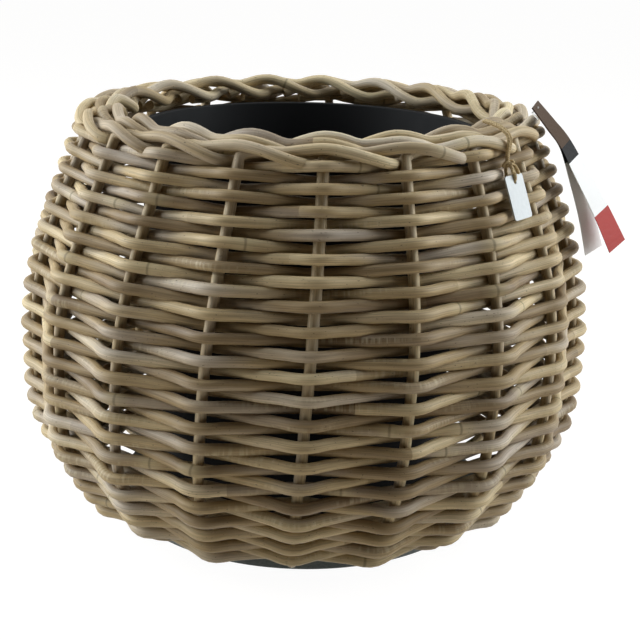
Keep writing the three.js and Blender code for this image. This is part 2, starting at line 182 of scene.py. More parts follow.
# The twine's route and the pin's, each point outwards, along the border and up from the rope's middle
TWINE_ROUTE = [
    (0.0004, -0.0013, 0.0095),
    (0.0054, -0.0014, 0.00895),
    (0.0116, -0.0014, 0.0074),
    (0.0165, -0.0014, 0.0048),
    (0.01925, -0.0013, 0.0014),
    (0.0195, -0.0012, -0.0023),
    (0.0193, -0.0011, -0.0053),
    (0.019, -0.001, -0.0082),
    (0.0192, -0.0007, -0.0115),
    (0.0203, -0.0004, -0.0142),
    (0.0227, -0.0003, -0.0171),
    (0.024, -0.0001, -0.0193),
    (0.025, 0, -0.0215),
    (0.025, 0, -0.0238),
    (0.0233, 0, -0.0256),
    (0.0209, 0, -0.0256),
    (0.0195, 0, -0.024),
    (0.0186, 0.0002, -0.0212),
    (0.0179, 0.0003, -0.0181),
    (0.0183, 0.0004, -0.0151),
    (0.0182, 0.0007, -0.0117),
    (0.0185, 0.001, -0.0082),
    (0.0189, 0.0011, -0.0053),
    (0.0194, 0.0012, -0.0023),
    (0.019, 0.0013, 0.0013),
    (0.0163, 0.0014, 0.0046),
    (0.0115, 0.0014, 0.00725),
    (0.0054, 0.0014, 0.00895),
    (0.0004, 0.0013, 0.0095),
]
PIN_ROUTE = [
    (0.0158, -0.0095, 0.00395),
    (0.0143, -0.0076, 0.00525),
    (0.0122, -0.0053, 0.0066),
    (0.0109, -0.0034, 0.0074),
    (0.01325, -0.002, 0.00935),
    (0.0148, -0.001, 0.0112),
]


def link(obj):
    """Puts an object in the scene."""
    bpy.context.collection.objects.link(obj)
    return obj


def linear(hex_colour):
    """An sRGB hex colour as linear red, green, blue and alpha."""
    parts = [int(hex_colour[i:i + 2], 16) / 255 for i in (1, 3, 5)]
    return tuple(p / 12.92 if p <= 0.04045 else ((p + 0.055) / 1.055) ** 2.4 for p in parts) + (1.0,)


def add(tree, kind, inputs=None, **settings):
    """Adds a node with its settings, and fills or links its inputs by name or number. A colour mix has
    its share at input 0, its colours at inputs 6 and 7, and its result at output 2."""
    node = tree.nodes.new(kind)
    for name, value in settings.items():
        setattr(node, name, value)
    for socket, value in (inputs or {}).items():
        if isinstance(value, bpy.types.NodeSocket):
            tree.links.new(value, node.inputs[socket])
        else:
            node.inputs[socket].default_value = value
    return node


# Camera at the photo's viewing angle, with its small roll and off-centre frame, and its lens in millimetres
CAMERA_PLACE = Vector((0.0, -0.8884, 0.4147))
CAMERA_AIM = Vector((0.0, 0.0, 0.1272))
CAMERA_ROLL = 0.0241
CAMERA_SENSOR = 36
CAMERA_LENS = 72.78
CAMERA_SHIFT = 0.0257, 0.0049
camera = link(bpy.data.objects.new("camera", bpy.data.cameras.new("camera")))
camera.data.sensor_width = CAMERA_SENSOR
camera.data.lens = CAMERA_LENS
camera.data.shift_x, camera.data.shift_y = CAMERA_SHIFT
camera.location = CAMERA_PLACE
camera.rotation_mode = "QUATERNION"
aimed = (CAMERA_AIM - CAMERA_PLACE).to_track_quat("-Z", "Y")
camera.rotation_quaternion = aimed @ Quaternion((0, 0, 1), CAMERA_ROLL)
bpy.context.scene.camera = camera
bpy.context.scene.view_settings.view_transform = "Standard"


# Materials. Each pattern's scale is a number to the metre, and its comment gives the real size

def material(name):
    """A new material, with its node tree and its shader."""
    made = bpy.data.materials.new(name)
    made.use_nodes = True
    tree = made.node_tree
    return made, tree, tree.nodes["Principled BSDF"]


# Rattan's colours beside the tones of a cane, and the share of its tone that changes from stick to stick
SCALY_BAND = "#d8cba9"
SPECK = "#4a3d2b"
JOINT_SHOULDER = "#cab990"
JOINT_LINE = "#54452a"
PORE = "#5e4c33"
CUT_FIBRE = "#bda378"
STICK_TONE = 0.8


def weathered_rattan(name, umber, tan, straw, lilac):
    """Peeled rattan, soaked in mud and left to weather: dull tan to grey-lilac canes, streaked along
    their length, with pale scaly bands, dark joint rings, specks and open pores at the cut ends."""
    made, tree, shader = material(name)
    space = add(tree, "ShaderNodeAttribute", attribute_name="cane_space").outputs["Vector"]
    tone = add(tree, "ShaderNodeAttribute", attribute_name="cane_tone").outputs["Fac"]
    cut_end = add(tree, "ShaderNodeAttribute", attribute_name="cut_end").outputs["Fac"]

    # A new stick every half metre or so, each with a tone of its own
    split = add(tree, "ShaderNodeSeparateXYZ", {0: space})
    stick = add(tree, "ShaderNodeTexVoronoi", {
        "W": split.outputs["Z"], "Scale": 1 / STICK_LENGTH}, voronoi_dimensions="1D")
    own = add(tree, "ShaderNodeSeparateColor", {0: stick.outputs["Color"]})
    own_tone = add(tree, "ShaderNodeMath", {
        0: own.outputs[0], 1: STICK_TONE, 2: tone}, operation="MULTIPLY_ADD")

    # Slow changes along a cane: of tone over about 90 mm, and of greyness over about 125 mm
    drift_space = add(tree, "ShaderNodeMapping", {"Vector": space, "Scale": (70, 70, 11)})
    drift = add(tree, "ShaderNodeTexNoise", {"Vector": drift_space.outputs[0], "Scale": 1, "Detail": 3})
    cool_space = add(tree, "ShaderNodeMapping", {
        "Vector": space, "Location": (3, 7, 5), "Scale": (40, 40, 8)})
    cool = add(tree, "ShaderNodeTexNoise", {"Vector": cool_space.outputs[0], "Scale": 1, "Detail": 2})
    light = add(tree, "ShaderNodeMath", {0: drift.outputs["Fac"], 1: own_tone.outputs[0]}, operation="ADD")
    light_share = add(tree, "ShaderNodeMapRange", {
        "Value": light.outputs[0], "From Min": 0.82, "From Max": 1.95})
    body = add(tree, "ShaderNodeValToRGB", {"Fac": light_share.outputs[0]})
    body.color_ramp.elements[0].color = linear(umber)
    body.color_ramp.elements[1].color = linear(straw)
    body.color_ramp.elements.new(0.5).color = linear(tan)
    cool_share = add(tree, "ShaderNodeMapRange", {
        "Value": cool.outputs["Fac"], "From Min": 0.5, "From Max": 0.68, "To Max": 0.75})
    greyed = add(tree, "ShaderNodeMix", {
        0: cool_share.outputs[0], 6: body.outputs["Color"], 7: linear(lilac)}, data_type="RGBA")

    # Fibre streaks about 0.7 mm wide and 40 mm long
    streak_space = add(tree, "ShaderNodeMapping", {"Vector": space, "Scale": (1400, 1400, 25)})
    streak = add(tree, "ShaderNodeTexNoise", {
        "Vector": streak_space.outputs[0], "Scale": 1, "Detail": 4, "Roughness": 0.6})
    streak_share = add(tree, "ShaderNodeMapRange", {
        "Value": streak.outputs["Fac"], "From Min": 0.3, "From Max": 0.7, "To Min": 0.66, "To Max": 1.2})
    streaked = add(tree, "ShaderNodeMix", {
        0: 1.0, 6: greyed.outputs[2], 7: streak_share.outputs[0]}, data_type="RGBA", blend_type="MULTIPLY")

    # Pale scaly bands 2 to 4 mm apart, on stretches of about 100 mm of some canes
    band_space = add(tree, "ShaderNodeMapping", {"Vector": space, "Scale": (45, 45, 430)})
    band = add(tree, "ShaderNodeTexNoise", {"Vector": band_space.outputs[0], "Scale": 1, "Detail": 2})
    band_share = add(tree, "ShaderNodeMapRange", {
        "Value": band.outputs["Fac"], "From Min": 0.46, "From Max": 0.62})
    patch_space = add(tree, "ShaderNodeMapping", {
        "Vector": space, "Location": (9, 2, 4), "Scale": (120, 120, 10)})
    patch = add(tree, "ShaderNodeTexNoise", {"Vector": patch_space.outputs[0], "Scale": 1, "Detail": 1})
    patch_share = add(tree, "ShaderNodeMapRange", {
        "Value": patch.outputs["Fac"], "From Min": 0.57, "From Max": 0.7, "To Max": 0.36})
    scaly = add(tree, "ShaderNodeMath", {
        0: band_share.outputs[0], 1: patch_share.outputs[0]}, operation="MULTIPLY")
    banded = add(tree, "ShaderNodeMix", {
        0: scaly.outputs[0], 6: streaked.outputs[2], 7: linear(SCALY_BAND)}, data_type="RGBA")

    # Dark specks of 1 to 2 mm
    speck_space = add(tree, "ShaderNodeMapping", {"Vector": space, "Scale": (900, 900, 520)})
    speck = add(tree, "ShaderNodeTexNoise", {"Vector": speck_space.outputs[0], "Scale": 1, "Detail": 1})
    speck_share = add(tree, "ShaderNodeMapRange", {
        "Value": speck.outputs["Fac"], "From Min": 0.7, "From Max": 0.76, "To Max": 0.7})
    specked = add(tree, "ShaderNodeMix", {
        0: speck_share.outputs[0], 6: banded.outputs[2], 7: linear(SPECK)}, data_type="RGBA")

    # Joint rings, with distances as shares of the joint spacing: a pale shoulder that reaches about 10 mm,
    # and a dark line about 1 mm to each side
    joint = add(tree, "ShaderNodeTexVoronoi", {
        "W": split.outputs["Z"], "Scale": 1 / JOINT_SPACING, "Randomness": 0.8}, voronoi_dimensions="1D")
    shoulder = add(tree, "ShaderNodeMapRange", {
        "Value": joint.outputs["Distance"], "From Min": 0.028, "From Max": 0.006, "To Max": 0.35})
    shouldered = add(tree, "ShaderNodeMix", {
        0: shoulder.outputs[0], 6: specked.outputs[2], 7: linear(JOINT_SHOULDER)}, data_type="RGBA")
    ring = add(tree, "ShaderNodeMapRange", {
        "Value": joint.outputs["Distance"], "From Min": 0.003, "From Max": 0.001, "To Max": 0.5})
    ringed = add(tree, "ShaderNodeMix", {
        0: ring.outputs[0], 6: shouldered.outputs[2], 7: linear(JOINT_LINE)}, data_type="RGBA")

    # Cut ends with pores of about 0.5 mm
    place = add(tree, "ShaderNodeTexCoord").outputs["Object"]
    pore = add(tree, "ShaderNodeTexVoronoi", {"Vector": place, "Scale": 1800})
    pore_share = add(tree, "ShaderNodeMapRange", {
        "Value": pore.outputs["Distance"], "From Min": 0.15, "From Max": 0.4})
    porous = add(tree, "ShaderNodeMix", {
        0: pore_share.outputs[0], 6: linear(PORE), 7: linear(CUT_FIBRE)}, data_type="RGBA")
    whole = add(tree, "ShaderNodeMix", {
        0: cut_end, 6: ringed.outputs[2], 7: porous.outputs[2]}, data_type="RGBA")

    height = add(tree, "ShaderNodeMath", {
        0: scaly.outputs[0], 1: 0.8, 2: streak.outputs["Fac"]}, operation="MULTIPLY_ADD")
    bump = add(tree, "ShaderNodeBump", {"Strength": 0.55, "Distance": 0.0003, "Height": height.outputs[0]})
    rough = add(tree, "ShaderNodeMapRange", {
        "Value": streak.outputs["Fac"], "From Min": 0.3, "From Max": 0.7, "To Min": 0.62, "To Max": 0.48})
    tree.links.new(whole.outputs[2], shader.inputs["Base Color"])
    tree.links.new(rough.outputs[0], shader.inputs["Roughness"])
    tree.links.new(bump.outputs[0], shader.inputs["Normal"])
    shader.inputs["IOR"].default_value = 1.5
    shader.inputs["Specular IOR Level"].default_value = 0.35
    return made


def stained_board():
    """Pressed fibre board under a thin dark stain: blue-grey, flat, with a faint mottle of 2 mm fibres."""
    made, tree, shader = material("stained_fibre_board")
    place = add(tree, "ShaderNodeTexCoord").outputs["Object"]
    fibre_space = add(tree, "ShaderNodeMapping", {"Vector": place, "Scale": (500, 500, 1500)})
    fibre = add(tree, "ShaderNodeTexNoise", {"Vector": fibre_space.outputs[0], "Scale": 1, "Detail": 4})
    share = add(tree, "ShaderNodeMapRange", {
        "Value": fibre.outputs["Fac"], "From Min": 0.35, "From Max": 0.65})
    stain = add(tree, "ShaderNodeMix", {
        0: share.outputs[0], 6: linear("#6d7573"), 7: linear("#838985")}, data_type="RGBA")
    bump = add(tree, "ShaderNodeBump", {"Strength": 0.3, "Distance": 0.0002, "Height": fibre.outputs["Fac"]})
    tree.links.new(stain.outputs[2], shader.inputs["Base Color"])
    tree.links.new(bump.outputs[0], shader.inputs["Normal"])
    shader.inputs["Roughness"].default_value = 0.6
    return made


def moulded_plastic():
    """Black moulded polypropylene with a matt grain and a sheen that is scuffed over about 45 mm. The
    grain is drawn at 0.7 mm, coarser than it is, so that it shows."""
    made, tree, shader = material("black_polypropylene")
    place = add(tree, "ShaderNodeTexCoord").outputs["Object"]
    grain = add(tree, "ShaderNodeTexNoise", {"Vector": place, "Scale": 1400, "Detail": 2})
    scuff = add(tree, "ShaderNodeTexNoise", {"Vector": place, "Scale": 22, "Detail": 5})
    rough = add(tree, "ShaderNodeMapRange", {
        "Value": scuff.outputs["Fac"], "From Min": 0.3, "From Max": 0.7, "To Min": 0.55, "To Max": 0.72})
    shade = add(tree, "ShaderNodeMix", {
        0: scuff.outputs["Fac"], 6: linear("#0e0e10"), 7: linear("#151516")}, data_type="RGBA")
    bump = add(tree, "ShaderNodeBump", {"Strength": 0.25, "Distance": 0.0002, "Height": grain.outputs["Fac"]})
    tree.links.new(shade.outputs[2], shader.inputs["Base Color"])
    tree.links.new(rough.outputs[0], shader.inputs["Roughness"])
    tree.links.new(bump.outputs[0], shader.inputs["Normal"])
    shader.inputs["IOR"].default_value = 1.49
    shader.inputs["Specular IOR Level"].default_value = 0.15
    return made


def whitewashed_tin():
    """Thin tinplate under a worn white wash: cool pale, satin, rubbed in spots of about 4 mm."""
    made, tree, shader = material("whitewashed_tinplate")
    place = add(tree, "ShaderNodeTexCoord").outputs["Object"]
    wash = add(tree, "ShaderNodeTexNoise", {"Vector": place, "Scale": 260, "Detail": 5})
    share = add(tree, "ShaderNodeMapRange", {"Value": wash.outputs["Fac"], "From Min": 0.35, "From Max": 0.7})
    colour = add(tree, "ShaderNodeMix", {
        0: share.outputs[0], 6: linear("#b0b2b2"), 7: linear("#a2a4a4")}, data_type="RGBA")
    rough = add(tree, "ShaderNodeMapRange", {
        "Value": wash.outputs["Fac"], "From Min": 0.3, "From Max": 0.7, "To Min": 0.5, "To Max": 0.36})
    tree.links.new(colour.outputs[2], shader.inputs["Base Color"])
    tree.links.new(rough.outputs[0], shader.inputs["Roughness"])
    shader.inputs["Metallic"].default_value = 0.15
    return made


def jute():
    """Twisted jute yarn: dull golden brown and hairy, with paler fibres. They are drawn at 0.7 mm,
    coarser than they are, so that they show."""
    made, tree, shader = material("jute_yarn")
    place = add(tree, "ShaderNodeTexCoord").outputs["Object"]
    fibre = add(tree, "ShaderNodeTexNoise", {"Vector": place, "Scale": 1500, "Detail": 4})
    share = add(tree, "ShaderNodeMapRange", {
        "Value": fibre.outputs["Fac"], "From Min": 0.35, "From Max": 0.65})
    colour = add(tree, "ShaderNodeMix", {
        0: share.outputs[0], 6: linear("#9c8054"), 7: linear("#d6c096")}, data_type="RGBA")
    bump = add(tree, "ShaderNodeBump", {"Strength": 0.6, "Distance": 0.0002, "Height": fibre.outputs["Fac"]})
    tree.links.new(colour.outputs[2], shader.inputs["Base Color"])
    tree.links.new(bump.outputs[0], shader.inputs["Normal"])
    shader.inputs["Roughness"].default_value = 0.9
    return made


def coated_card():
    """Coated card with plain fields of ink straight across it: brown, charcoal, white and red, satin,
    over a fibre of about 1.5 mm."""
    made, tree, shader = material("coated_card")
    along = add(tree, "ShaderNodeAttribute", attribute_name="card_along").outputs["Fac"]
    inks = add(tree, "ShaderNodeValToRGB", {"Fac": along})
    ramp = inks.color_ramp
    ramp.interpolation = "CONSTANT"
    ramp.elements[0].color = linear("#4a3829")
    ramp.elements[1].position = 0.30
    ramp.elements[1].color = linear("#181717")
    ramp.elements.new(0.40).color = linear("#efecea")
    ramp.elements.new(0.76).color = linear("#a8403b")
    place = add(tree, "ShaderNodeTexCoord").outputs["Object"]
    fibre = add(tree, "ShaderNodeTexNoise", {"Vector": place, "Scale": 700, "Detail": 3})
    rough = add(tree, "ShaderNodeMapRange", {
        "Value": fibre.outputs["Fac"], "From Min": 0.3, "From Max": 0.7, "To Min": 0.44, "To Max": 0.56})
    bump = add(tree, "ShaderNodeBump", {"Strength": 0.1, "Distance": 0.0001, "Height": fibre.outputs["Fac"]})
    shader.inputs["Specular IOR Level"].default_value = 0.05
    tree.links.new(inks.outputs["Color"], shader.inputs["Base Color"])
    tree.links.new(rough.outputs[0], shader.inputs["Roughness"])
    tree.links.new(bump.outputs[0], shader.inputs["Normal"])
    return made


def milky_nylon():
    """Drawn nylon filament: milky white, glossy, lightly lit from within, with a faint 0.4 mm grain."""
    made, tree, shader = material("milky_nylon")
    place = add(tree, "ShaderNodeTexCoord").outputs["Object"]
    draw = add(tree, "ShaderNodeTexNoise", {"Vector": place, "Scale": 2500, "Detail": 1})
    bump = add(tree, "ShaderNodeBump", {"Strength": 0.15, "Distance": 0.0001, "Height": draw.outputs["Fac"]})
    tree.links.new(bump.outputs[0], shader.inputs["Normal"])
    shader.inputs["Base Color"].default_value = linear("#f1f0ec")
    shader.inputs["Roughness"].default_value = 0.25
    shader.inputs["IOR"].default_value = 1.53
    shader.inputs["Subsurface Weight"].default_value = 0.2
    shader.inputs["Subsurface Radius"].default_value = (0.001, 0.001, 0.001)
    return made


weaver_rattan = weathered_rattan("weathered_rattan_weavers", "#6f583c", "#ad956d", "#d8c39a", "#c1b4a6")
stake_rattan = weathered_rattan("weathered_rattan_stakes", "#8d7859", "#bfa881", "#ddcaa2", "#cabdae")
border_rattan = weathered_rattan("weathered_rattan_border", "#806a4d", "#b59e77", "#dac7a0", "#c3b6a8")
board_finish = stained_board()
liner_finish = moulded_plastic()
tin_finish = whitewashed_tin()
jute_finish = jute()
card_finish = coated_card()
nylon_finish = milky_nylon()


# Shapes

class Line:
    """A line of points that is walked by distance."""

    def __init__(self, points):
        self.points = points
        self.marks = [0.0]
        for before, after in zip(points, points[1:]):
            self.marks.append(self.marks[-1] + (after - before).length)
        self.length = self.marks[-1]

    def at(self, distance):
        """The point at a distance along the line, and the line's direction there."""
        index = 1
        while index < len(self.marks) - 1 and self.marks[index] < distance:
            index += 1
        before, after = self.points[index - 1], self.points[index]
        share = (distance - self.marks[index - 1]) / (self.marks[index] - self.marks[index - 1])
        return before.lerp(after, share), (after - before).normalized()


def bezier(ends, share):
    """The point of a cubic curve, from its four guide points."""
    rest = 1 - share
    a, b, c, d = ends
    return a * rest ** 3 + b * (3 * rest ** 2 * share) + c * (3 * rest * share ** 2) + d * share ** 3


# A sixth of the stretch between a point's neighbours guides the curve through it, and a rounded corner's
# guides reach this share of the way to the corner
ROUTE_GUIDE = 6
CORNER_PULL = 0.6


def smooth_route(points, steps):
    """A smooth line through every given point."""
    line = []
    for index in range(len(points) - 1):
        before = points[max(index - 1, 0)]
        start, end = points[index], points[index + 1]
        after = points[min(index + 2, len(points) - 1)]
        guides = (start, start + (end - before) / ROUTE_GUIDE, end - (after - start) / ROUTE_GUIDE, end)
        line += [bezier(guides, step / steps) for step in range(steps)]
    return line + [points[-1]]


def mesh_piece(name, vertices, faces, finish, smooth=True):
    """A piece from its vertices and faces, in one finish."""
    mesh = bpy.data.meshes.new(name)
    mesh.from_pydata(vertices, [], faces)
    mesh.polygons.foreach_set("use_smooth", [smooth] * len(faces))
    mesh.materials.append(finish)
    return link(bpy.data.objects.new(name, mesh))


def turned(name, profile, segments, finish):
    """A solid turned about +Z from radius and height pairs that start and end on the axis."""
    vertices = []
    rings = []
    for radius, height in profile:
        if radius == 0:
            rings.append([len(vertices)] * segments)
            vertices.append((0, 0, height))
            continue
        rings.append(range(len(vertices), len(vertices) + segments))
        for step in range(segments):
            turn = 2 * math.pi * step / segments
            vertices.append((radius * math.cos(turn), radius * math.sin(turn), height))
    faces = []
    for lower, upper in zip(rings, rings[1:]):
        for step in range(segments):
            after = (step + 1) % segments
            corners = [lower[step], lower[after], upper[after], upper[step]]
            faces.append(list(dict.fromkeys(corners)))
    return mesh_piece(name, vertices, faces, finish)


def rounded(corners, radius, steps=3):
    """A profile with its inner corners rounded, ends kept."""
    corners = [Vector(corner) for corner in corners]
    line = [corners[0]]
    for before, corner, after in zip(corners, corners[1:], corners[2:]):
        start = corner + (before - corner).normalized() * radius
        end = corner + (after - corner).normalized() * radius
        guides = (start, start.lerp(corner, CORNER_PULL), end.lerp(corner, CORNER_PULL), end)
        line += [bezier(guides, step / steps) for step in range(steps + 1)]
    return [tuple(point) for point in line + [corners[-1]]]


def frames(points):
    """Direction and two steady side vectors at each point of a line."""
    directions = []
    for index in range(len(points)):
        before, after = points[max(index - 1, 0)], points[min(index + 1, len(points) - 1)]
        directions.append((after - before).normalized())
    side = directions[0].orthogonal().normalized()
    made = []
    for direction in directions:
        side = (side - direction * side.dot(direction)).normalized()
        made.append((direction, side, direction.cross(side)))
    return made


def tube(points, radius, sides, start):
    """Vertices and faces of a closed round rod, with its vertex numbers counted from start."""
    vertices = []
    faces = []
    for point, (_, side, up) in zip(points, frames(points)):
        for step in range(sides):
            turn = 2 * math.pi * step / sides
            vertices.append(point + side * (radius * math.cos(turn)) + up * (radius * math.sin(turn)))
    for ring in range(len(points) - 1):
        for step in range(sides):
            after = (step + 1) % sides
            low, high = start + ring * sides, start + (ring + 1) * sides
            faces.append((low + step, low + after, high + after, high + step))
    faces.append(tuple(start + step for step in reversed(range(sides))))
    faces.append(tuple(start + (len(points) - 1) * sides + step for step in range(sides)))
    return vertices, faces


def tubes(name, lines, radius, sides, finish):
    """One piece from several rods."""
    vertices = []
    faces = []
    for line in lines:
        more, sheets = tube(line, radius, sides, len(vertices))
        vertices += more
        faces += sheets
    return mesh_piece(name, vertices, faces, finish)


def on_border(angle):
    """A frame at the border rope's middle, with +X outwards, +Y along the border and +Z up."""
    place = Vector((BORDER_RADIUS * math.sin(angle), -BORDER_RADIUS * math.cos(angle), BORDER_HEIGHT))
    return Matrix.Translation(place) @ Matrix.Rotation(angle - math.pi / 2, 4, "Z")


def fit(piece, body, node):
    """Lets a piece ride on its body and stand for a solid's node."""
    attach(piece, body)
    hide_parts(node)


# Hanging tag's twine: three yarns laid together, over the border, through the tag's hole and back,
# with the knot round both runs
tag_place = on_border(TAG_ANGLE)
twine_points = smooth_route([tag_place @ Vector(point) for point in TWINE_ROUTE], TWINE_STEPS)
twine_line = Line(twine_points)
YARNS = 3
YARN_RADIUS = TWINE_DIAMETER * 0.42
YARN_OUT = TWINE_DIAMETER * 0.36
TWINE_LAY = 0.0042
yarns = []
for yarn in range(YARNS):
    strand = []
    for point, mark, (_, side, up) in zip(twine_points, twine_line.marks, frames(twine_points)):
        turn = 2 * math.pi * (mark / TWINE_LAY + yarn / YARNS)
        strand.append(point + side * (YARN_OUT * math.cos(turn)) + up * (YARN_OUT * math.sin(turn)))
    yarns.append(strand)
twine = tubes("tag_twine_yarns", yarns, YARN_RADIUS, YARN_SIDES, jute_finish)

# Knot: a trefoil of the same twine across the runs, with two frayed ends in front of it, each given by
# how far it leans to the side and hangs down
KNOT_WIDTH = 0.0022
KNOT_SWING = 0.0011
KNOT_LOBES = 3
KNOT_ROUNDS = 2
KNOT_TWINE_RADIUS = 0.001
FRAYED_ENDS = (0.0016, -0.0075), (-0.0012, -0.0062)
FRAY_OUT = 0.0016, 0.0030, 0.0034
FRAY_LEAN = 0.6, 1.6, 2.4
FRAY_DROP = -0.0006, -0.0028
knot_lean = Matrix.Rotation(TAG_SLOPE - math.pi / 2, 4, "Y")
knot_place = tag_place @ Matrix.Translation((KNOT_OUT, 0, -KNOT_DROP)) @ knot_lean
knot_line = []
for step in range(KNOT_STEPS):
    turn = 2 * math.pi * step / KNOT_STEPS
    around = KNOT_ROUNDS * turn
    reach = KNOT_WIDTH + KNOT_SWING * math.cos(KNOT_LOBES * turn)
    rise = KNOT_SWING * math.sin(KNOT_LOBES * turn)
    knot_line.append(knot_place @ Vector((reach * math.cos(around), reach * math.sin(around), rise)))
frayed = []
for across, hang in FRAYED_ENDS:
    ends = [Vector((out, across * lean, drop))
            for out, lean, drop in zip(FRAY_OUT, FRAY_LEAN, FRAY_DROP + (hang,))]
    frayed.append([knot_place @ point for point in smooth_route(ends, FRAY_STEPS)])
knot = tubes("tag_twine_knot", [knot_line] + frayed, KNOT_TWINE_RADIUS, KNOT_SIDES, jute_finish)


TAG_EDGE = 0.00012
TAG_EDGE_STEPS = 2


def tag_plate():
    """The bare tin plate: rounded corners, a punched hole and softened edges."""
    flat = bpy.data.curves.new("tag_outline", "CURVE")
    flat.dimensions = "2D"
    flat.fill_mode = "BOTH"
    flat.extrude = TAG_THICKNESS / 2 - TAG_EDGE
    flat.bevel_depth = TAG_EDGE
    flat.bevel_resolution = TAG_EDGE_STEPS
    flat.offset = -TAG_EDGE
    side = TAG_WIDTH / 2 - TAG_CORNER
    top = TAG_HOLE_INSET - TAG_CORNER
    bottom = TAG_HOLE_INSET - TAG_LENGTH + TAG_CORNER
    outline = []
    for quarter, (x, y) in enumerate(((side, top), (-side, top), (-side, bottom), (side, bottom))):
        for step in range(TAG_CORNER_STEPS + 1):
            turn = math.pi / 2 * (quarter + step / TAG_CORNER_STEPS)
            outline.append((x + TAG_CORNER * math.cos(turn), y + TAG_CORNER * math.sin(turn)))
    hole = []
    for step in range(TAG_HOLE_STEPS):
        turn = -2 * math.pi * step / TAG_HOLE_STEPS
        hole.append((TAG_HOLE_RADIUS * math.cos(turn), TAG_HOLE_RADIUS * math.sin(turn)))
    for loop in (outline, hole):
        spline = flat.splines.new("POLY")
        spline.points.add(len(loop) - 1)
        spline.points.foreach_set("co", [value for x, y in loop for value in (x, y, 0, 1)])
        spline.use_cyclic_u = True
    sheet = bpy.data.objects.new("tag_outline", flat)
    link(sheet)
    mesh = bpy.data.meshes.new_from_object(sheet.evaluated_get(bpy.context.evaluated_depsgraph_get()))
    bpy.data.objects.remove(sheet)
    across = Vector((0, 1, 0))
    up_slope = Vector((-math.cos(TAG_SLOPE), 0, math.sin(TAG_SLOPE)))
    outward = Vector((math.sin(TAG_SLOPE), 0, math.cos(TAG_SLOPE)))
    lean = Matrix((across, up_slope, outward)).transposed().to_4x4()
    middle = Matrix.Translation((0, 0, TAG_THICKNESS / 2 + TAG_STAND))
    mesh.transform(tag_place @ Matrix.Translation((TAG_HOLE_OUT, 0, -TAG_HOLE_DROP)) @ lean @ middle)
    mesh.materials.clear()
    mesh.materials.append(tin_finish)
    mesh.name = "tag_tin_plate"
    return link(bpy.data.objects.new("tag_tin_plate", mesh))


plate = tag_plate()
fit(twine, "tag", "tag_twine")
fit(knot, "tag", "tag_knot")
fit(plate, "tag", "tag_plate")


# The wall line and the canes' lines

def direction(angle):
    """A step of length 1 in the wall's outline, outwards and up."""
    return Vector((math.cos(angle), math.sin(angle)))


NECK_DIRECTION = direction(math.pi - NECK_SLOPE)
lower_wall = (WALL_START, WALL_START + direction(WALL_START_SLOPE) * WALL_START_PULL,
              BELLY - Vector((0, BELLY_PULL_DOWN)), BELLY)
upper_wall = (BELLY, BELLY + Vector((0, BELLY_PULL_UP)), NECK - NECK_DIRECTION * NECK_PULL, NECK)
wall = Line([bezier(lower_wall, step / WALL_SAMPLES) for step in range(WALL_SAMPLES)]
            + [bezier(upper_wall, step / WALL_SAMPLES) for step in range(WALL_SAMPLES + 1)])


def placed(radius, height, stake):
    """A point from its radius, height and stake number, which may lie between two stakes."""
    climb = (max(height, WALL_START.y) - BELLY.y) / (NECK.y - WALL_START.y)
    turn = FRONT_STAKE_ANGLE + (stake - FRONT_STAKE) * STAKE_SPACING + STAKE_LEAN * climb - math.pi / 2
    return Vector((radius * math.cos(turn), radius * math.sin(turn), height))


def border_strand(run, stake):
    """A strand's points along the border, from the stake number that its run is counted from."""
    return [placed(BORDER_RADIUS + across, BORDER_HEIGHT - BORDER_SAG + up, stake + spacings)
            for spacings, across, up in smooth_route([Vector(point) for point in run], BORDER_STEPS)]


def stake_line(stake):
    """A stake's axis: out of the board's rim, up the wall and along the border."""
    past_rim = Vector((BASE_RADIUS + FOOT_STAND, FOOT_HEIGHT + FOOT_LIFT))
    knee_inset = (WALL_START.y - FOOT_KNEE_HEIGHT) / math.tan(WALL_START_SLOPE)
    knee = Vector((WALL_START.x - knee_inset, FOOT_KNEE_HEIGHT))
    guides = (past_rim, past_rim.lerp(knee, KNEE_PULL), WALL_START.lerp(knee, KNEE_PULL), WALL_START)
    upright = [Vector((FOOT_RADIUS, FOOT_HEIGHT))]
    upright += [bezier(guides, step / FOOT_STEPS) for step in range(FOOT_STEPS)]
    upright += [wall.at(wall.length * step / UPRIGHT_STEPS)[0] for step in range(UPRIGHT_STEPS + 1)]
    return [placed(radius, height, stake) for radius, height in upright] + border_strand(TAIL_RUN, stake)


ROW_COUNT = math.floor((wall.length - TOP_ROW_MARGIN) / ROW_PITCH_LEAST)
ROW_PITCH = (wall.length - TOP_ROW_MARGIN) / ROW_COUNT
SPAN_COUNT = ROW_COUNT * STAKE_COUNT
SPANS_PER_WEAVER = 2 * math.ceil(SPAN_COUNT / (2 * WEAVER_COUNT))


def crossing(number, lift, push):
    """Where the spiral of weavers passes a stake: inside on even numbers and outside on odd ones."""
    row = number / STAKE_COUNT
    point, along = wall.at(row * (ROW_PITCH + ROW_LIFT / ROW_COUNT))
    outward = Vector((along.y, -along.x))
    inward = 2 * WEAVE_OFFSET + point.x * (1 - math.cos(STAKE_SPACING))
    outer = WEAVE_OFFSET / math.cos(math.atan2(inward, point.x * math.sin(STAKE_SPACING)))
    press = FOOT_PRESS + (WEAVE_PRESS - FOOT_PRESS) * min(row / FOOT_ROWS, 1)
    offset = press * (-WEAVE_OFFSET if number % 2 == 0 else outer)
    point = point + outward * (offset + push) + along * lift
    return placed(point.x, point.y, number % STAKE_COUNT)


def straightened(points):
    """The same points, with the middle of each stretch between them kept straight."""
    line = [points[0]]
    for before, after in zip(points, points[1:]):
        line += [before.lerp(after, STRAIGHT_REACH), before.lerp(after, 1 - STRAIGHT_REACH), after]
    return line


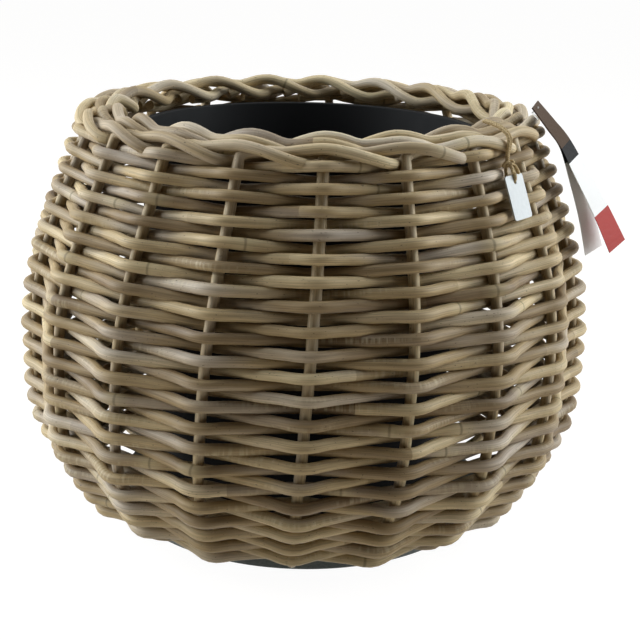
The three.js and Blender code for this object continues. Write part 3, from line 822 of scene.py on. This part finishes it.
def cane_tree():
    """Grows a natural cane along a line of points: rounded bends, uneven thickness and joint swellings."""
    tree = bpy.data.node_groups.new("cane", "GeometryNodeTree")
    for name, kind in (("Geometry", "NodeSocketGeometry"), ("Diameter", "NodeSocketFloat"),
                       ("Step", "NodeSocketFloat"), ("Sides", "NodeSocketInt"),
                       ("Unevenness", "NodeSocketFloat"), ("Wander", "NodeSocketFloat"),
                       ("Joint Spacing", "NodeSocketFloat"), ("Start", "NodeSocketFloat"),
                       ("Tone", "NodeSocketFloat"), ("Finish", "NodeSocketMaterial")):
        tree.interface.new_socket(name, in_out="INPUT", socket_type=kind)
    tree.interface.new_socket("Geometry", in_out="OUTPUT", socket_type="NodeSocketGeometry")
    given = add(tree, "NodeGroupInput").outputs
    line = add(tree, "GeometryNodeMeshToCurve", {"Mesh": given["Geometry"]})
    springy = add(tree, "GeometryNodeCurveSplineType", {"Curve": line.outputs[0]}, spline_type="BEZIER")
    bent = add(tree, "GeometryNodeCurveSetHandles", {"Curve": springy.outputs[0]}, handle_type="AUTO")
    even = add(tree, "GeometryNodeResampleCurve", {
        "Curve": bent.outputs[0], "Length": given["Step"]}, mode="LENGTH")
    walked = add(tree, "GeometryNodeSplineParameter")
    mark = add(tree, "ShaderNodeMath", {0: walked.outputs["Length"], 1: given["Start"]}, operation="ADD")
    marked = add(tree, "GeometryNodeCaptureAttribute")
    marked.capture_items.new("FLOAT", "along")
    tree.links.new(even.outputs[0], marked.inputs["Geometry"])
    tree.links.new(mark.outputs[0], marked.inputs["along"])
    along = marked.outputs["along"]

    # A wander of the axis over about 50 mm
    sway = add(tree, "ShaderNodeTexNoise", {"W": along, "Scale": 20, "Detail": 1}, noise_dimensions="1D")
    centred = add(tree, "ShaderNodeVectorMath", {
        0: sway.outputs["Color"], 1: (0.5, 0.5, 0.5)}, operation="SUBTRACT")
    swayed = add(tree, "ShaderNodeVectorMath", {
        0: centred.outputs[0], "Scale": given["Wander"]}, operation="SCALE")
    moved = add(tree, "GeometryNodeSetPosition", {
        "Geometry": marked.outputs["Geometry"], "Offset": swayed.outputs[0]})

    # Thickness that changes over about 125 mm, and swells by 6 % over about 10 mm at the joints
    swell = add(tree, "ShaderNodeTexNoise", {"W": along, "Scale": 8, "Detail": 2}, noise_dimensions="1D")
    swell_centred = add(tree, "ShaderNodeMath", {0: swell.outputs["Fac"], 1: 0.5}, operation="SUBTRACT")
    thick = add(tree, "ShaderNodeMath", {
        0: swell_centred.outputs[0], 1: given["Unevenness"], 2: 1.0}, operation="MULTIPLY_ADD")
    per_joint = add(tree, "ShaderNodeMath", {0: 1.0, 1: given["Joint Spacing"]}, operation="DIVIDE")
    joint = add(tree, "ShaderNodeTexVoronoi", {
        "W": along, "Scale": per_joint.outputs[0], "Randomness": 0.8}, voronoi_dimensions="1D")
    collar = add(tree, "ShaderNodeMapRange", {
        "Value": joint.outputs["Distance"], "From Min": 0.03, "From Max": 0.004, "To Max": 0.06},
        interpolation_type="SMOOTHSTEP")
    scale = add(tree, "ShaderNodeMath", {0: thick.outputs[0], 1: collar.outputs[0]}, operation="ADD")

    radius = add(tree, "ShaderNodeMath", {0: given["Diameter"], 1: 0.5}, operation="MULTIPLY")
    ring = add(tree, "GeometryNodeCurvePrimitiveCircle", {
        "Resolution": given["Sides"], "Radius": radius.outputs[0]})
    around = add(tree, "GeometryNodeCaptureAttribute")
    around.capture_items.new("VECTOR", "around")
    tree.links.new(ring.outputs["Curve"], around.inputs["Geometry"])
    tree.links.new(add(tree, "GeometryNodeInputPosition").outputs[0], around.inputs["around"])
    skin = add(tree, "GeometryNodeCurveToMesh", {
        "Curve": moved.outputs[0], "Profile Curve": around.outputs["Geometry"],
        "Scale": scale.outputs[0], "Fill Caps": True})
    sides = add(tree, "ShaderNodeSeparateXYZ", {0: around.outputs["around"]})
    space = add(tree, "ShaderNodeCombineXYZ", {"X": sides.outputs["X"], "Y": sides.outputs["Y"], "Z": along})
    with_space = add(tree, "GeometryNodeStoreNamedAttribute", {
        "Geometry": skin.outputs[0], "Name": "cane_space", "Value": space.outputs[0]},
        data_type="FLOAT_VECTOR", domain="POINT")
    with_tone = add(tree, "GeometryNodeStoreNamedAttribute", {
        "Geometry": with_space.outputs[0], "Name": "cane_tone", "Value": given["Tone"]},
        data_type="FLOAT", domain="POINT")
    corners = add(tree, "GeometryNodeInputMeshFaceNeighbors").outputs["Vertex Count"]
    is_end = add(tree, "FunctionNodeCompare", {2: corners, 3: 4}, data_type="INT", operation="GREATER_THAN")
    with_ends = add(tree, "GeometryNodeStoreNamedAttribute", {
        "Geometry": with_tone.outputs[0], "Name": "cut_end", "Value": is_end.outputs[0]},
        data_type="FLOAT", domain="FACE")
    smooth = add(tree, "GeometryNodeSetShadeSmooth", {"Geometry": with_ends.outputs[0]})
    real = add(tree, "GeometryNodeRealizeInstances", {"Geometry": smooth.outputs[0]})
    finished = add(tree, "GeometryNodeSetMaterial", {
        "Geometry": real.outputs[0], "Material": given["Finish"]})
    add(tree, "NodeGroupOutput", {"Geometry": finished.outputs[0]})
    return tree


CANE_TREE = cane_tree()
CANE_INPUTS = {item.name: item.identifier for item in CANE_TREE.interface.items_tree
               if item.in_out == "INPUT"}


def grow_cane(name, points, values):
    """A cane along the points, as a plain mesh."""
    mesh = bpy.data.meshes.new(name)
    mesh.from_pydata(points, [(index, index + 1) for index in range(len(points) - 1)], [])
    cane = link(bpy.data.objects.new(name, mesh))
    growth = cane.modifiers.new("growth", "NODES")
    growth.node_group = CANE_TREE
    for key, value in values.items():
        growth[CANE_INPUTS[key]] = value
    grown = bpy.data.meshes.new_from_object(cane.evaluated_get(bpy.context.evaluated_depsgraph_get()))
    cane.modifiers.clear()
    cane.data = grown
    bpy.data.meshes.remove(mesh)
    grown.name = name
    return cane


def set_cane(name, points, node, finish, diameter, tone, start, unevenness, wander):
    """Grows a cane and sets it in the basket, in place of the solid's rod."""
    cane = grow_cane(name, points, {
        "Diameter": diameter, "Step": CANE_STEP, "Sides": CANE_SIDES, "Unevenness": unevenness,
        "Wander": wander, "Joint Spacing": JOINT_SPACING, "Start": start, "Tone": tone, "Finish": finish})
    fit(cane, "basket", node)


# Canes: their tones, thickness and small shifts come from one seed, and each starts its pattern a gap
# further along, with the stakes' numbers after the weavers' and the border canes' after those
chance = random.Random(19)
PATTERN_GAP = 7.3
FIRST_STAKE_PATTERN = 21
FIRST_BORDER_PATTERN = 41

for weaver in range(WEAVER_COUNT):
    first = weaver * SPANS_PER_WEAVER
    last = min(first + SPANS_PER_WEAVER, SPAN_COUNT)
    points = [crossing(number, chance.uniform(-CROSSING_LIFT, CROSSING_LIFT),
                       chance.uniform(-CROSSING_PUSH, CROSSING_PUSH)) for number in range(first, last + 1)]
    points[0] = points[0] + (points[1] - points[0]).normalized() * (BUTT_GAP / 2)
    points[-1] = points[-1] + (points[-2] - points[-1]).normalized() * (BUTT_GAP / 2)
    climb = weaver / (WEAVER_COUNT - 1)
    diameter = LOWEST_WEAVER_DIAMETER + (TOPMOST_WEAVER_DIAMETER - LOWEST_WEAVER_DIAMETER) * climb ** 2
    set_cane(f"weaver_cane_{weaver + 1:02d}", straightened(points), f"weaver_{weaver + 1:02d}",
             weaver_rattan, diameter * chance.uniform(*WEAVER_FULLNESS),
             chance.uniform(*WEAVER_TONES), PATTERN_GAP * (weaver + 1), WEAVER_UNEVENNESS, WEAVER_WANDER)

for stake in range(STAKE_COUNT):
    set_cane(f"stake_cane_{stake + 1:02d}", stake_line(stake), f"stake_{stake + 1:02d}",
             stake_rattan, STAKE_CANE_DIAMETER * chance.uniform(*STRAIGHT_FULLNESS),
             chance.uniform(*STAKE_TONES), PATTERN_GAP * (stake + FIRST_STAKE_PATTERN),
             STRAIGHT_UNEVENNESS, STRAIGHT_WANDER)

for stake in range(STAKE_COUNT):
    set_cane(f"border_rope_cane_{stake + 1:02d}", border_strand(CANE_RUN, stake + BORDER_CANE_CREST),
             f"border_cane_{stake + 1:02d}", border_rattan,
             BORDER_CANE_DIAMETER * chance.uniform(*STRAIGHT_FULLNESS), chance.uniform(*BORDER_TONES),
             PATTERN_GAP * (stake + FIRST_BORDER_PATTERN), STRAIGHT_UNEVENNESS, STRAIGHT_WANDER)


# Base board and liner pot
board_outline = rounded([(0, 0), (BASE_RADIUS, 0), (BASE_RADIUS, BASE_THICKNESS), (0, BASE_THICKNESS)],
                        BASE_ROUNDING)
board = turned("base_fibre_board", board_outline, BOARD_SEGMENTS, board_finish)
fit(board, "basket", "base_board")

LINER_ROUNDING = 0.0009
liner_top = LINER_LIP_RADIUS - LINER_LIP_WIDTH
liner_outline = rounded([
    (0, LINER_FOOT_HEIGHT),
    (LINER_FOOT_RADIUS, LINER_FOOT_HEIGHT),
    (liner_top, LINER_RIM_HEIGHT - LINER_LIP_HEIGHT),
    (LINER_LIP_RADIUS, LINER_RIM_HEIGHT - LINER_LIP_HEIGHT),
    (LINER_LIP_RADIUS, LINER_RIM_HEIGHT),
    (liner_top - LINER_WALL, LINER_RIM_HEIGHT),
    (LINER_FOOT_RADIUS - LINER_WALL, LINER_FOOT_HEIGHT + LINER_FLOOR),
    (0, LINER_FOOT_HEIGHT + LINER_FLOOR)], LINER_ROUNDING)
liner = turned("liner_moulded_pot", liner_outline, LINER_SEGMENTS, liner_finish)
fit(liner, "liner", "liner_pot")


# Card ticket: two bowed leaves that part below the fork, each point outwards and up from the rope's
# middle; they twist towards the front about their front edge. A leaf is a little under half as thick as
# the folded card, and the inner one stays in its white field to the end
CARD_OUTER = [(0.0112, 0.0118), (0.0222, -0.0013), (0.0315, -0.0129), (0.0421, -0.0313), (0.0563, -0.0559),
              (0.0688, -0.0806)]
CARD_INNER = [(0.0109, 0.0115), (0.0218, -0.0016), (0.0310, -0.0133), (0.0386, -0.0338), (0.0468, -0.0583),
              (0.0533, -0.0836)]
CARD_LEAF = TICKET_THICKNESS * 0.45
CARD_TWIST = math.radians(6), math.radians(26)
INNER_LEAF_INK = 0.7
ticket_place = on_border(TICKET_ANGLE)


def card_leaf(points, start):
    """One leaf of the card: its vertices, faces and the share of the leaf that each vertex lies at."""
    line = smooth_route([Vector((out, 0, up)) for out, up in points], CARD_STEPS)
    walked = Line(line)
    vertices = []
    shares = []
    for point, mark, (along, _, _) in zip(line, walked.marks, frames(line)):
        share = mark / walked.length
        twist = Quaternion(along, CARD_TWIST[0] + (CARD_TWIST[1] - CARD_TWIST[0]) * share)
        face = twist @ Vector((-along.z, 0, along.x)) * CARD_LEAF
        near = point - Vector((0, TICKET_WIDTH / 2, 0))
        for corner in (near, near + twist @ Vector((0, TICKET_WIDTH, 0))):
            vertices += [ticket_place @ corner, ticket_place @ (corner + face)]
            shares += [share] * 2
    faces = []
    for step in range(len(line) - 1):
        low, high = start + 4 * step, start + 4 * step + 4
        for a, b in ((0, 1), (1, 3), (3, 2), (2, 0)):
            faces.append((low + a, low + b, high + b, high + a))
    faces.append((start + 2, start + 3, start + 1, start))
    end = start + 4 * (len(line) - 1)
    faces.append((end, end + 1, end + 3, end + 2))
    return vertices, faces, shares


outer_leaf = card_leaf(CARD_OUTER, 0)
inner_leaf = card_leaf(CARD_INNER, len(outer_leaf[0]))
card = mesh_piece("ticket_folded_card", outer_leaf[0] + inner_leaf[0], outer_leaf[1] + inner_leaf[1],
                  card_finish, smooth=False)
card_along = card.data.attributes.new("card_along", "FLOAT", "POINT")
inner_inks = [min(share, INNER_LEAF_INK) for share in inner_leaf[2]]
card_along.data.foreach_set("value", outer_leaf[2] + inner_inks)
fit(card, "ticket", "ticket_card")

pin_line = smooth_route([ticket_place @ Vector(point) for point in PIN_ROUTE], PIN_STEPS)
pin = tubes("ticket_nylon_pin", [pin_line], PIN_DIAMETER / 2, PIN_SIDES, nylon_finish)
fit(pin, "basket", "ticket_pin")


# Floor, lamps and world: a pale floor, softboxes beside and above the planter, and a room that is bright
# behind it and dark in front of it
FLOOR_HALF = 14.0
FLOOR_WHITE = 1.2
FLOOR_WHITE_SHARE = 0.8


def pale_floor():
    """Seamless pale studio floor: white to the camera, with only the faint shadow that it keeps."""
    made, tree, shader = material("studio_floor")
    shader.inputs["Base Color"].default_value = linear("#cfc6b9")
    shader.inputs["Roughness"].default_value = 0.9
    path = add(tree, "ShaderNodeLightPath")
    seen = add(tree, "ShaderNodeMath", {
        0: path.outputs["Is Camera Ray"], 1: path.outputs["Is Glossy Ray"]}, operation="MAXIMUM")
    seen_through = add(tree, "ShaderNodeMath", {
        0: seen.outputs[0], 1: path.outputs["Is Transmission Ray"]}, operation="MAXIMUM")
    share = add(tree, "ShaderNodeMath", {
        0: seen_through.outputs[0], 1: FLOOR_WHITE_SHARE}, operation="MULTIPLY")
    white = add(tree, "ShaderNodeEmission", {"Color": (1, 1, 1, 1), "Strength": FLOOR_WHITE})
    mixed = add(tree, "ShaderNodeMixShader", {0: share.outputs[0], 1: shader.outputs[0], 2: white.outputs[0]})
    tree.links.new(mixed.outputs[0], tree.nodes["Material Output"].inputs["Surface"])
    return made


floor_corners = [(-FLOOR_HALF, -FLOOR_HALF, 0), (FLOOR_HALF, -FLOOR_HALF, 0), (FLOOR_HALF, FLOOR_HALF, 0),
                 (-FLOOR_HALF, FLOOR_HALF, 0)]
floor = mesh_piece("floor", floor_corners, [(0, 1, 2, 3)], pale_floor(), smooth=False)


# Each softbox by its place, its aim, its size and its watts
LAMP_COLOUR = 0.9, 0.965, 1.0
SOFTBOXES = {
    "left_softbox": ((-1.5, 0.15, 0.75), (0, 0, 0.14), (1.2, 1.4), 36),
    "right_softbox": ((1.5, 0.15, 0.75), (0, 0, 0.14), (1.2, 1.4), 28),
    "top_softbox": ((0, 0.2, 1.65), (0, 0, 0.2), (1.4, 1.2), 11),
}


def softbox(name, place, aim, size, watts):
    """A soft rectangular lamp, slightly cool."""
    lamp = bpy.data.lights.new(name, "AREA")
    lamp.shape = "RECTANGLE"
    lamp.size, lamp.size_y = size
    lamp.energy = watts
    lamp.color = LAMP_COLOUR
    obj = link(bpy.data.objects.new(name, lamp))
    obj.location = place
    obj.rotation_euler = (Vector(aim) - Vector(place)).to_track_quat("-Z", "Y").to_euler()


for softbox_name, softbox_values in SOFTBOXES.items():
    softbox(softbox_name, *softbox_values)

# The room's light on dull surfaces, as a share of what glossy ones and the camera see, and the stretch
# from front to back over which it comes up
ROOM_FILL = 0.2
ROOM_DARK = -0.7
ROOM_BRIGHT = 0.5
world = bpy.data.worlds.new("studio")
bpy.context.scene.world = world
world.use_nodes = True
sky = world.node_tree
sky_path = add(sky, "ShaderNodeLightPath")
sky_seen = add(sky, "ShaderNodeMath", {
    0: sky_path.outputs["Is Camera Ray"], 1: sky_path.outputs["Is Transmission Ray"]}, operation="MAXIMUM")
sky_view = add(sky, "ShaderNodeSeparateXYZ", {0: add(sky, "ShaderNodeTexCoord").outputs["Generated"]})
sky_back = add(sky, "ShaderNodeMapRange", {
    "Value": sky_view.outputs["Y"], "From Min": ROOM_DARK, "From Max": ROOM_BRIGHT})
sky_light = add(sky, "ShaderNodeMapRange", {
    "Value": sky_path.outputs["Is Glossy Ray"], "To Min": ROOM_FILL, "To Max": 1.0})
sky_side = add(sky, "ShaderNodeMath", {0: sky_back.outputs[0], 1: sky_light.outputs[0]}, operation="MULTIPLY")
sky_level = add(sky, "ShaderNodeMapRange", {
    "Value": sky_seen.outputs[0], "To Min": sky_side.outputs[0], "To Max": 1.0})
background = sky.nodes["Background"]
background.inputs["Color"].default_value = (1, 1, 1, 1)
sky.links.new(sky_level.outputs[0], background.inputs["Strength"])
